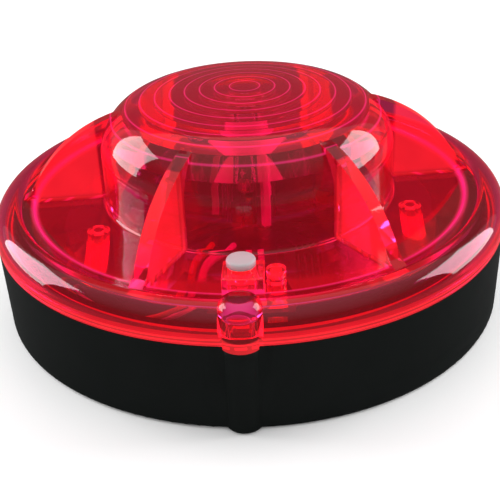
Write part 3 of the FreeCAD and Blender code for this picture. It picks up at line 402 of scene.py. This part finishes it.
class CoverSizes(bpy.types.PropertyGroup):
    """Sizes of the lens cover in millimetres."""
    wall: millimetres("Wall", "Thickness of the clear plastic", 2.0)
    rim_radius: millimetres("Rim rounding", "Outer rounding of the rim", 4.5)
    crest_z: millimetres("Crest height", "Top of the rounded rim", 25.0)
    floor_z: millimetres("Floor height", "Top of the recessed floor", 23.4)
    floor_radius: millimetres("Floor radius", "Where the rim meets the floor", 45.4)
    flange_height: millimetres("Foot height", "Thick foot that stands on the base", 1.7)
    flange_width: millimetres("Foot width", "Width of the thick foot", 3.4)
    dome_radius: millimetres("Dome radius", "Outside of the dome's upright wall", 30.7)
    dome_wall_top: millimetres("Dome wall top", "Where the dome starts to round over", 33.0)
    dome_shoulder: millimetres("Dome shoulder", "Radius of the dome's shoulder", 11.0)
    ring_pitch: millimetres("Lens ring pitch", "Spacing of the rings inside the dome", 3.1)
    ring_step: millimetres("Lens ring step", "Height of each ring's step", 0.18)
    rib_thickness: millimetres("Rib thickness", "Thickness of the ribs", 2.8)
    rib_top_radius: millimetres("Rib top radius", "Where a rib runs into the dome", 26.2)
    rib_tip_radius: millimetres("Rib tip radius", "A rib's low end", 48.2)
    rib_bulge: millimetres("Rib bulge", "How far a rib's edge bows out", 2.9)
    edge: millimetres("Edge rounding", "Rounding of moulded edges", 0.28)
    crest_round: millimetres("Crest rounding", "Inner rounding of the crest", 1.5)
    dome_foot: millimetres("Dome foot rounding", "Hollow rounding between the dome and the floor", 0.9)
    rib_tip_height: millimetres("Rib tip height", "A rib's height at its low end", 1.8)
    rib_tip_slope: millimetres("Rib tip bevel", "Length of the bevel at a rib's low end", 2.0)
    bead_radius: millimetres("Bead radius", "Half-round bead down the front", 3.9)
    bead_top: millimetres("Bead top", "Height of the bead", 26.8)
    bead_round: millimetres("Bead rounding", "Rounding of the bead's top edge", 2.2)
    bead_skirt: millimetres("Bead skirt", "How far the bead hangs below the seam", 0.55)
    bead_notch: millimetres("Bead notch", "Inside of the bead's skirt, outside the seal", 53.15)
    tower_left: millimetres("Tower left", "From the button's axis to the tower's left side", 3.45)
    tower_right: millimetres("Tower right", "From the button's axis to the tower's right side", 4.1)
    tower_front: millimetres("Tower front", "From the button's axis to the tower's front", 3.6)
    tower_back: millimetres("Tower back", "From the button's axis to the tower's back", 3.4)
    tower_top: millimetres("Tower top", "Height of the button tower", 26.4)
    tower_roof: millimetres("Tower roof", "Thickness of the tower's top", 1.4)
    switch_room: millimetres("Switch room", "Width of the hollow over the switch", 4.9)
    stem_hole: millimetres("Stem hole radius", "Hole for the button's stem", 1.27)
    post_radius: millimetres("Post radius", "Radius of the screw posts", 2.3)
    post_circle: millimetres("Post circle", "Radius of the circle of the board posts", 35.0)
    post_angles: bpy.props.FloatVectorProperty(
        name="Post angles", description="Angles of the board posts in degrees",
        default=(-58.0, 73.0, 187.0), size=3)
    front_post_radius: millimetres("Front post radius", "Radius of the post beside the button", 1.8)
    front_post_circle: millimetres("Front post circle", "Radius at which the front post stands", 40.0)
    front_post_angle: bpy.props.FloatProperty(
        name="Front post angle", description="Angle of the front post in degrees", default=8.85)
    front_post_foot: millimetres("Front post foot", "Height of the front post's foot", 13.5)
    front_post_top: millimetres("Front post top", "Height of the front post's top", 25.3)
    screw_bite: millimetres("Screw bite", "How far a screw enters its post", 4.5)
    front_screw_bite: millimetres("Front screw bite", "How far the front screw enters its post", 10.3)
    screw_end_room: millimetres("Screw end room", "Hole beyond a screw's tip", 0.6)
    pilot_radius: millimetres("Pilot radius", "Radius of the screw holes", 1.05)
    segments: bpy.props.IntProperty(name="Segments", description="Sides of the turned shapes", default=180)
    ring_count: bpy.props.IntProperty(name="Lens rings", description="Number of rings inside the dome", default=9)
    rib_count: bpy.props.IntProperty(name="Ribs", description="Number of ribs", default=6)
    rib_first: bpy.props.FloatProperty(name="First rib", description="Angle of the first rib from the button",
                                       default=math.radians(-23.2), subtype="ANGLE")


def sizes():
    return bpy.context.scene.cover_sizes


def materials():
    if not finishes:
        finishes.update(make_materials())
    return finishes


finishes = {}


# ---------------------------------------------------------------- the lens cover

def overall():
    """Radius, seam height and apex height of the light, in millimetres, from the engineering model."""
    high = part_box("lens_cover")[1]
    return high.x / MM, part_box("cover_seal")[1].z / MM, high.z / MM


def dome_arcs(inset):
    """The dome's shoulder and crown arcs, moved in by inset, as (centre r, centre z, radius), and their lean."""
    s = sizes()
    apex = overall()[2]
    reach = s.dome_radius - s.dome_shoulder
    rise = apex - s.dome_wall_top
    crown = (reach ** 2 + rise ** 2 - s.dome_shoulder ** 2) / (2 * (rise - s.dome_shoulder))
    lean = math.degrees(math.acos(reach / (crown - s.dome_shoulder)))
    return (reach, s.dome_wall_top, s.dome_shoulder - inset), (0.0, apex - crown, crown - inset), lean


def dome_height(r, inset):
    shoulder, crown, lean = dome_arcs(inset)
    if r <= crown[2] * math.cos(math.radians(lean)):
        return crown[1] + math.sqrt(crown[2] ** 2 - r ** 2)
    return shoulder[1] + math.sqrt(max(0.0, shoulder[2] ** 2 - (r - shoulder[0]) ** 2))


def cover_outside():
    """Outline of the cover as a solid block: apex, dome, floor, crest and rim, down to the seam."""
    s = sizes()
    radius, seam, _ = overall()
    shoulder, crown, lean = dome_arcs(0)
    crest_r = radius - s.rim_radius
    foot = s.dome_foot
    points = arc_points(*crown, 90, lean, 26)[:-1] + arc_points(*shoulder, lean, 0, 18)
    points += arc_points(s.dome_radius + foot, s.floor_z + foot, foot, 180, 270, 8)
    points += arc_points(s.floor_radius - 0.5, s.floor_z + 1.0, 1.0, 270, 330, 5)
    points += arc_points(crest_r, s.crest_z - s.crest_round, s.crest_round, 150, 90, 8)
    points += arc_points(crest_r, s.crest_z - s.rim_radius, s.rim_radius, 90, 0, 20)[1:]
    points += arc_points(radius - s.edge, seam + s.edge, s.edge, 0, -90, 4)
    points.append((0.0, seam))
    return points


def cover_inside():
    """Outline of the space under the cover, with the lens rings stepped into the dome's ceiling."""
    s = sizes()
    radius, seam, apex = overall()
    crest_r = radius - s.rim_radius
    ceiling = s.floor_z - s.wall
    points = [(0.0, apex - s.wall + s.ring_step)]
    for k in range(1, s.ring_count + 1):
        r = s.ring_pitch * k
        low = dome_height(r, s.wall)
        points += [(r, low + s.ring_step), (r + 0.05, low)]
    inner_dome = s.dome_radius - s.wall
    shoulder = dome_arcs(s.wall)[0]
    last = s.ring_pitch * s.ring_count
    turn = math.degrees(math.acos(min(1.0, (last - shoulder[0]) / shoulder[2])))
    points += arc_points(*shoulder, turn, 0, 6)[1:]
    points += [(inner_dome, ceiling + 0.5), (inner_dome + 0.5, ceiling), (s.floor_radius, ceiling)]
    points += arc_points(crest_r, s.crest_z - s.rim_radius, s.rim_radius - s.wall, 90, 0, 10)
    flange_r = radius - s.flange_width
    top = seam + s.flange_height
    points += [(radius - s.wall, top), (flange_r + s.edge, top), (flange_r, top - s.edge),
               (flange_r, seam - 1.0), (0.0, seam - 1.0)]
    return points


def rib_blank():
    """One closed rib on the button's side, its upper edges rounded, ready to be copied round the dome."""
    s = sizes()
    start = Vector((s.rib_tip_radius - s.rib_tip_slope, s.floor_z + s.rib_tip_height))
    end = Vector((s.rib_top_radius, dome_height(s.rib_top_radius, 0)))
    chord = end - start
    out = Vector((chord.y, -chord.x)).normalized()
    steps = 24
    top = [start + chord * (k / steps) + out * s.rib_bulge * 4 * (k / steps) * (1 - k / steps)
           for k in range(steps + 1)]
    low = s.floor_z - s.wall / 2
    outline = top + [Vector((s.rib_top_radius, low)), Vector((s.rib_tip_radius, low)),
                     Vector((s.rib_tip_radius, s.floor_z + s.rib_tip_height / 3))]
    bm = bmesh.new()
    half = s.rib_thickness / 2
    near = [bm.verts.new((half * MM, -p.x * MM, p.y * MM)) for p in outline]
    far = [bm.verts.new((-half * MM, -p.x * MM, p.y * MM)) for p in outline]
    bm.faces.new(near)
    bm.faces.new(far[::-1])
    count = len(outline)
    for k in range(count):
        n = (k + 1) % count
        bm.faces.new((near[k], far[k], far[n], near[n]))
    bm.edges.ensure_lookup_table()
    long_edges = [bm.edges.get((side[k], side[k + 1])) for side in (near, far) for k in range(steps)]
    bmesh.ops.bevel(bm, geom=long_edges, offset=s.edge * MM, segments=3, profile=0.5, affect="EDGES")
    return finished(bm, "rib_blank")


def rod(name, x, y, radius, low, high, segments=48, edge=0.0):
    """A closed upright rod in millimetres, with its top edge rounded."""
    outline = [(0.0, low), (radius, low)]
    outline += arc_points(radius - edge, high - edge, edge, 0, 90, 8) if edge else [(radius, high)]
    outline.append((0.0, high))
    return lathe(name, outline, segments, Vector((x, y, 0)))


def copies_round(source, count, first, name, material=None, radius=0.0, height=0.0):
    """A geometry-nodes array of copies round the vertical axis, realised into one plain mesh."""
    tree = bpy.data.node_groups.new(name + "_array", "GeometryNodeTree")
    face = tree.interface
    face.new_socket("Geometry", in_out="INPUT", socket_type="NodeSocketGeometry")
    face.new_socket("Source", in_out="INPUT", socket_type="NodeSocketObject")
    face.new_socket("Count", in_out="INPUT", socket_type="NodeSocketInt")
    face.new_socket("First angle", in_out="INPUT", socket_type="NodeSocketFloat")
    face.new_socket("Radius", in_out="INPUT", socket_type="NodeSocketFloat")
    face.new_socket("Height", in_out="INPUT", socket_type="NodeSocketFloat")
    face.new_socket("Material", in_out="INPUT", socket_type="NodeSocketMaterial")
    face.new_socket("Geometry", in_out="OUTPUT", socket_type="NodeSocketGeometry")
    start = add(tree, "NodeGroupInput")
    given = start.outputs
    points = add(tree, "GeometryNodePoints", {}, {"Count": given["Count"]})
    index = add(tree, "GeometryNodeInputIndex")
    step = add(tree, "ShaderNodeMath", {"operation": "DIVIDE", 0: 2 * math.pi}, {1: given["Count"]})
    turn = add(tree, "ShaderNodeMath", {"operation": "MULTIPLY_ADD"},
               {0: index.outputs[0], 1: step.outputs[0], 2: given["First angle"]})
    sine = add(tree, "ShaderNodeMath", {"operation": "SINE"}, {0: turn.outputs[0]})
    cosine = add(tree, "ShaderNodeMath", {"operation": "COSINE"}, {0: turn.outputs[0]})
    x = add(tree, "ShaderNodeMath", {"operation": "MULTIPLY"}, {0: sine.outputs[0], 1: given["Radius"]})
    back = add(tree, "ShaderNodeMath", {"operation": "MULTIPLY"}, {0: cosine.outputs[0], 1: given["Radius"]})
    y = add(tree, "ShaderNodeMath", {"operation": "MULTIPLY", 1: -1.0}, {0: back.outputs[0]})
    place = add(tree, "ShaderNodeCombineXYZ", {}, {0: x.outputs[0], 1: y.outputs[0], 2: given["Height"]})
    spread = add(tree, "GeometryNodeSetPosition", {},
                 {"Geometry": points.outputs[0], "Position": place.outputs[0]})
    turned = add(tree, "ShaderNodeCombineXYZ", {}, {2: turn.outputs[0]})
    rotation = add(tree, "FunctionNodeEulerToRotation", {}, {0: turned.outputs[0]})
    info = add(tree, "GeometryNodeObjectInfo", {}, {"Object": given["Source"]})
    put = add(tree, "GeometryNodeInstanceOnPoints", {}, {"Points": spread.outputs[0],
              "Instance": info.outputs["Geometry"], "Rotation": rotation.outputs[0]})
    real = add(tree, "GeometryNodeRealizeInstances", {}, {0: put.outputs[0]})
    painted = add(tree, "GeometryNodeSetMaterial", {},
                  {"Geometry": real.outputs[0], "Material": given["Material"]})
    add(tree, "NodeGroupOutput", {}, {0: painted.outputs[0]})
    thing = mesh_object(name, bpy.data.meshes.new(name))
    modifier = thing.modifiers.new("array", "NODES")
    modifier.node_group = tree
    values = {"Source": source, "Count": count, "First angle": first, "Radius": radius * MM,
              "Height": height * MM, "Material": material}
    for item in tree.interface.items_tree:
        if item.in_out == "INPUT" and item.name in values and values[item.name] is not None:
            modifier[item.identifier] = values[item.name]
    applied(thing)
    bpy.data.objects.remove(source)
    return thing


def place(thing, finish, slot, body="case", nodes=()):
    """Give a finished piece its finish and its place among the engineering model's bodies."""
    paint(thing, materials()[finish])
    if nodes:
        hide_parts(*nodes)
    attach(thing, body)
    return thing


def skin(node, finish, slot, body="case", degrees=32.0):
    """An engineering solid's own shape, merged and smoothly shaded, in a better finish."""
    thing = copy_of(node)
    smooth(thing, degrees)
    return place(thing, finish, slot, body)


class LIGHT_OT_cover(bpy.types.Operator):
    """Turn the clear cover, with its dome, lens rings, ribs, button tower and screw posts"""
    bl_idname = "light.cover"
    bl_label = "Lens cover"

    def execute(self, context):
        s = sizes()
        seam = overall()[1]
        cover = lathe("lens_cover_moulding", cover_outside(), s.segments)
        ribs = copies_round(rib_blank(), s.rib_count, s.rib_first, "cover_ribs")
        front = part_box("lens_cover")[0].y / MM
        bead_y = front + s.bead_radius
        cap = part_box("push_button")
        y = (cap[0].y + cap[1].y) / 2 / MM
        tower = block("tower", (-s.tower_left, y - s.tower_front, s.floor_z - s.wall),
                      (s.tower_right, y + s.tower_back, s.tower_top), s.edge)
        unite(cover, [ribs, tower])
        cut_away(cover, [lathe("inside", cover_inside(), s.segments)])
        bead = rod("bead", 0, bead_y, s.bead_radius, seam - s.bead_skirt, s.bead_top, 64, s.bead_round)
        cut_away(bead, [rod("notch", 0, 0, s.bead_notch, seam - 5, seam, s.segments)])
        posts = self.posts(s)
        unite(cover, [bead] + [rod("post", x, py, radius, low, high) for x, py, radius, low, high, _ in posts])
        room = s.switch_room / 2
        ceiling = s.crest_z - s.wall
        groove = s.bead_radius - s.wall
        foot = seam + s.flange_height
        hollow = [block("room", (-room, y - room, seam), (room, y + room, s.tower_top - s.tower_roof),
                        s.edge / 2),
                  rod("stem", 0, y, s.stem_hole, s.floor_z, s.tower_top + 1),
                  rod("groove", 0, bead_y, groove, foot, ceiling, 48, s.edge),
                  block("groove_back", (-groove, bead_y, foot), (groove, bead_y + s.bead_radius, ceiling))]
        hollow += [rod("pilot", x, py, s.pilot_radius, low - 1, tip + s.screw_end_room, 32)
                   for x, py, _, low, _, tip in posts]
        cut_away(cover, hollow)
        smooth(cover, 30)
        place(cover, "red_polycarbonate", "clear_red", "case", ["lens_cover"])
        return {"FINISHED"}

    def posts(self, s):
        """(x, y, radius, foot, top, screw tip): three over the main board's screws and one beside the button."""
        board_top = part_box("main_board")[1].z / MM
        found = []
        for angle in s.post_angles:
            turn = math.radians(angle)
            found.append((s.post_circle * math.sin(turn), -s.post_circle * math.cos(turn), s.post_radius,
                          board_top, s.floor_z - s.wall / 2, board_top + s.screw_bite))
        turn = math.radians(s.front_post_angle)
        found.append((s.front_post_circle * math.sin(turn), -s.front_post_circle * math.cos(turn),
                      s.front_post_radius, s.front_post_foot, s.front_post_top,
                      s.front_post_foot + s.front_screw_bite))
        return found


class LIGHT_OT_housing(bpy.types.Operator):
    """Finish the black base with its seal"""
    bl_idname = "light.housing"
    bl_label = "Base"

    def execute(self, context):
        skin("base_housing", "black_abs", "black_plastic")
        skin("cover_seal", "nitrile_rubber", "black_rubber")
        return {"FINISHED"}


class LIGHT_OT_button(bpy.types.Operator):
    """Finish the push button, its washer and the switch's plunger"""
    bl_idname = "light.button"
    bl_label = "Push button"

    def execute(self, context):
        skin("push_button", "white_acetal", "white_button", "button")
        skin("switch_plunger", "acetal_plunger", "plunger_plastic", "button")
        skin("button_seal", "clear_silicone", "clear_rubber")
        return {"FINISHED"}


class LIGHT_OT_lamp(bpy.types.Operator):
    """Finish the lamp tower: holder, side lamps with their leads, top lamp and reflector"""
    bl_idname = "light.lamp"
    bl_label = "LED tower"

    def execute(self, context):
        skin("led_holder", "white_abs", "white_plastic")
        skin("top_reflector", "white_abs", "white_plastic")
        for node in ("side_leds", "top_led"):
            skin(node, "led_epoxy", "clear_led")
        for node in ("side_led_leads", "top_led_leads"):
            skin(node, "tinned_lead", "tin")
        return {"FINISHED"}


class LIGHT_OT_boards(bpy.types.Operator):
    """Finish the main board, the switch board and what is soldered to them"""
    bl_idname = "light.boards"
    bl_label = "Boards"

    def execute(self, context):
        skin("main_board", "solder_mask", "board_green")
        skin("switch_board", "solder_mask", "board_green")
        skin("control_chip", "black_epoxy", "black_epoxy")
        skin("chip_leads", "tinned_lead", "tin")
        skin("resistors", "alumina_chip", "chip_ceramic")
        skin("capacitor", "can_sleeve", "can_sleeve")
        skin("boost_coil", "ferrite", "ferrite")
        skin("coil_winding", "enamelled_copper", "copper_wire")
        skin("switch_body", "black_epoxy", "black_epoxy")
        return {"FINISHED"}


class LIGHT_OT_wiring(bpy.types.Operator):
    """Finish the insulated leads"""
    bl_idname = "light.wiring"
    bl_label = "Wires"

    def execute(self, context):
        skin("battery_lead_negative", "insulation_white", "wire_white")
        skin("battery_lead_positive", "insulation_red", "wire_red")
        skin("switch_lead_left", "insulation_white", "wire_white")
        skin("switch_lead_right", "insulation_white", "wire_white")
        return {"FINISHED"}


class LIGHT_OT_power(bpy.types.Operator):
    """Finish the two cells, their springs and contacts"""
    bl_idname = "light.power"
    bl_label = "Batteries and contacts"

    def execute(self, context):
        for node in ("battery_front", "battery_rear"):
            skin(node, "cell_foil", "cell_sleeve")
        for node in ("spring_front", "spring_rear"):
            skin(node, "zinc_steel", "steel")
        for node in ("negative_contact", "positive_contact", "bridge_contact"):
            skin(node, "nickel_plate", "nickel")
        return {"FINISHED"}


class LIGHT_OT_fasteners(bpy.types.Operator):
    """Finish the case screws and the magnets in the underside"""
    bl_idname = "light.fasteners"
    bl_label = "Screws and magnets"

    def execute(self, context):
        skin("case_screws", "zinc_steel", "steel")
        skin("magnets", "nickel_plate", "nickel")
        return {"FINISHED"}


class LIGHT_OT_door(bpy.types.Operator):
    """Finish the battery door and its gasket"""
    bl_idname = "light.door"
    bl_label = "Battery door"

    def execute(self, context):
        skin("battery_door", "black_abs", "black_plastic", "door")
        skin("door_gasket", "nitrile_rubber", "black_rubber", "door")
        return {"FINISHED"}


def softbox(name, at, aim, size, power):
    """A rectangular soft white lamp aimed at a point, all in millimetres."""
    data = bpy.data.lights.new(name, "AREA")
    data.shape = "RECTANGLE"
    data.size, data.size_y = size[0] * MM, size[1] * MM
    data.energy = power
    lamp = bpy.data.objects.new(name, data)
    bpy.context.collection.objects.link(lamp)
    lamp.location = Vector(at) * MM
    lamp.rotation_euler = (Vector(aim) - Vector(at)).to_track_quat("-Z", "Y").to_euler()
    return lamp


class LIGHT_OT_stage(bpy.types.Operator):
    """Set the pale floor, the soft lamps and the camera"""
    bl_idname = "light.stage"
    bl_label = "Stage and camera"

    def execute(self, context):
        self.floor()
        context.scene.world = self.studio()
        context.scene.view_settings.view_transform = "Standard"
        for name, side in (("left", -300), ("right", 300)):
            softbox(name, (side, 60, 130), (0, 0, 20), (200, 240), 0.7)
        self.camera(context)
        return {"FINISHED"}

    def studio(self):
        """An even white room, which is dim at its near and low sides where the light's gloss mirrors it."""
        world = bpy.data.worlds.new("studio")
        world.use_nodes = True
        tree = world.node_tree
        place = add(tree, "ShaderNodeTexCoord")
        split = add(tree, "ShaderNodeSeparateXYZ", {}, {0: place.outputs["Generated"]})
        high = add(tree, "ShaderNodeMapRange",
                   {"From Min": 0.35, "From Max": 0.95, "To Min": 0.05, "To Max": 0.45},
                   {"Value": split.outputs["Z"]})
        back = add(tree, "ShaderNodeMapRange", {"From Min": 0.1, "From Max": 0.9, "To Min": 0.0, "To Max": 0.35},
                   {"Value": split.outputs["Y"]})
        mirrored = add(tree, "ShaderNodeMath", {"operation": "ADD"}, {0: high.outputs[0], 1: back.outputs[0]})
        path = add(tree, "ShaderNodeLightPath")
        strength = add(tree, "ShaderNodeMix", {"A": 1.0}, {"Factor": path.outputs["Is Glossy Ray"],
                                                          "B": mirrored.outputs[0]})
        tree.links.new(strength.outputs["Result"], tree.nodes["Background"].inputs["Strength"])
        tree.nodes["Background"].inputs["Color"].default_value = linear("#FFFFFF")
        return world

    def floor(self):
        """A wide pale floor that curves up far behind."""
        bm = bmesh.new()
        half = 4.0
        profile = [(-4.0, 0.0), (2.5, 0.0)] + [(2.5 + 1.5 * math.sin(math.radians(a)),
                                               1.5 - 1.5 * math.cos(math.radians(a))) for a in range(6, 91, 6)]
        profile.append((4.0, 5.0))
        rows = [[bm.verts.new((side * half, y, z - 0.00005)) for y, z in profile] for side in (-1, 1)]
        for k in range(len(profile) - 1):
            bm.faces.new((rows[0][k], rows[1][k], rows[1][k + 1], rows[0][k + 1]))
        mesh = bpy.data.meshes.new("floor")
        bm.to_mesh(mesh)
        bm.free()
        floor = mesh_object("floor", mesh)
        material, tree, shader, output = begin_material("white_paper")
        shader.inputs["Roughness"].default_value = 0.9
        shifted(tree, shader, grain(tree, 400.0).outputs[0], "#FBFBFB", "#F8F8F8")
        path = add(tree, "ShaderNodeLightPath")
        dim = add(tree, "ShaderNodeBsdfDiffuse")
        dim.inputs["Color"].default_value = linear("#5A5A5A")
        mix = add(tree, "ShaderNodeMixShader", {}, {0: path.outputs["Is Glossy Ray"], 1: shader.outputs[0],
                                                  2: dim.outputs[0]})
        tree.links.new(mix.outputs[0], output.inputs["Surface"])
        paint(floor, material)

    def camera(self, context):
        s = context.scene.stage_settings
        data = bpy.data.cameras.new("camera")
        data.sensor_width = 36.0
        data.lens = s.lens
        data.clip_start = 0.005
        data.clip_end = 50.0
        camera = bpy.data.objects.new("camera", data)
        context.collection.objects.link(camera)
        down, roll = s.down, s.roll
        forward = Vector((math.sin(s.yaw) * math.cos(down), math.cos(s.yaw) * math.cos(down),
                          -math.sin(down)))
        level = forward.cross(Vector((0, 0, 1))).normalized()
        above = level.cross(forward)
        right = level * math.cos(roll) + above * math.sin(roll)
        up = above * math.cos(roll) - level * math.sin(roll)
        facing = Matrix((right, up, -forward)).transposed().to_4x4()
        turn = Matrix.Rotation(s.turn, 4, "Z")
        camera.matrix_world = turn @ Matrix.Translation(Vector((0, -s.distance * MM, s.height * MM))) @ facing
        context.scene.camera = camera


def angle(name, description, degrees):
    return bpy.props.FloatProperty(name=name, description=description, default=math.radians(degrees),
                                   subtype="ANGLE")


class StageSettings(bpy.types.PropertyGroup):
    """Where the camera stands."""
    distance: millimetres("Camera distance", "From the light's axis along the floor", 190.9)
    height: millimetres("Camera height", "Above the standing plane", 113.1)
    lens: bpy.props.FloatProperty(name="Lens", description="Focal length in millimetres", default=70.06)
    down: angle("Camera pitch", "How far the camera looks down", 29.02)
    yaw: angle("Camera yaw", "How far it looks to the side of the axis", -0.10)
    roll: angle("Camera roll", "Tilt of the camera about its own axis", -2.48)
    turn: angle("Camera turn", "How far the camera stands round from the button's side", 2.7)


class LIGHT_PT_panel(bpy.types.Panel):
    """The light's pieces and sizes"""
    bl_idname = "LIGHT_PT_panel"
    bl_label = "Warning light"
    bl_space_type = "VIEW_3D"
    bl_region_type = "UI"
    bl_category = "Warning light"

    def draw(self, context):
        for operator in PIECE_OPERATORS:
            self.layout.operator(operator.bl_idname)
        for settings in (context.scene.cover_sizes, context.scene.stage_settings):
            column = self.layout.column()
            for name in settings.__annotations__:
                column.prop(settings, name)


PIECE_OPERATORS = [LIGHT_OT_stage, LIGHT_OT_cover, LIGHT_OT_housing, LIGHT_OT_button, LIGHT_OT_lamp,
                   LIGHT_OT_boards, LIGHT_OT_wiring, LIGHT_OT_power, LIGHT_OT_fasteners, LIGHT_OT_door]
CLASSES = [CoverSizes, StageSettings] + PIECE_OPERATORS + [LIGHT_PT_panel]


def register():
    for item in CLASSES:
        bpy.utils.register_class(item)
    bpy.types.Scene.cover_sizes = bpy.props.PointerProperty(type=CoverSizes)
    bpy.types.Scene.stage_settings = bpy.props.PointerProperty(type=StageSettings)


def unregister():
    del bpy.types.Scene.stage_settings
    del bpy.types.Scene.cover_sizes
    for item in reversed(CLASSES):
        bpy.utils.unregister_class(item)


def main():
    register()
    for operator in PIECE_OPERATORS:
        group, name = operator.bl_idname.split(".")
        getattr(getattr(bpy.ops, group), name)()


if __name__ == "__main__":
    main()
